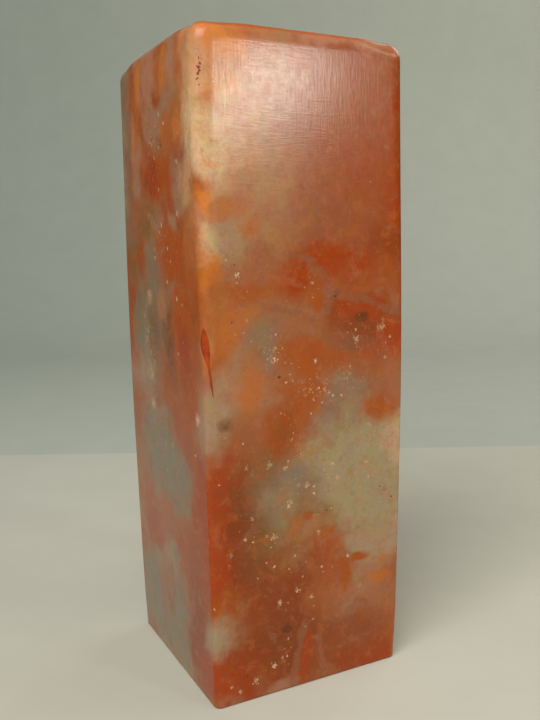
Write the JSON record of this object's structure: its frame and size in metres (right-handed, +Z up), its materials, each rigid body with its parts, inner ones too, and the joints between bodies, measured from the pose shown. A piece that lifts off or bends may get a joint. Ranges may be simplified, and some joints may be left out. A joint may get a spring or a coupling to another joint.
{
  "type": "seal stone",
  "caption": "Tall square block of polished mottled stone with softened edges and a blank flat end to carve, standing on that end.",
  "frame": {"origin": "centre of the seal face, the flat end that the stone stands on", "axes": "+Z up along the stone's length, X and Y square to its four sides, -Y towards the wide side of the picture"},
  "size_m": [0.0304, 0.0304, 0.0865],
  "materials": {
    "stone": "waxy hand polish, mottled orange red, pink grey and olive grey"
  },
  "bodies": {
    "root": {"seal_stone": "stone"}
  },
  "joints": []
}
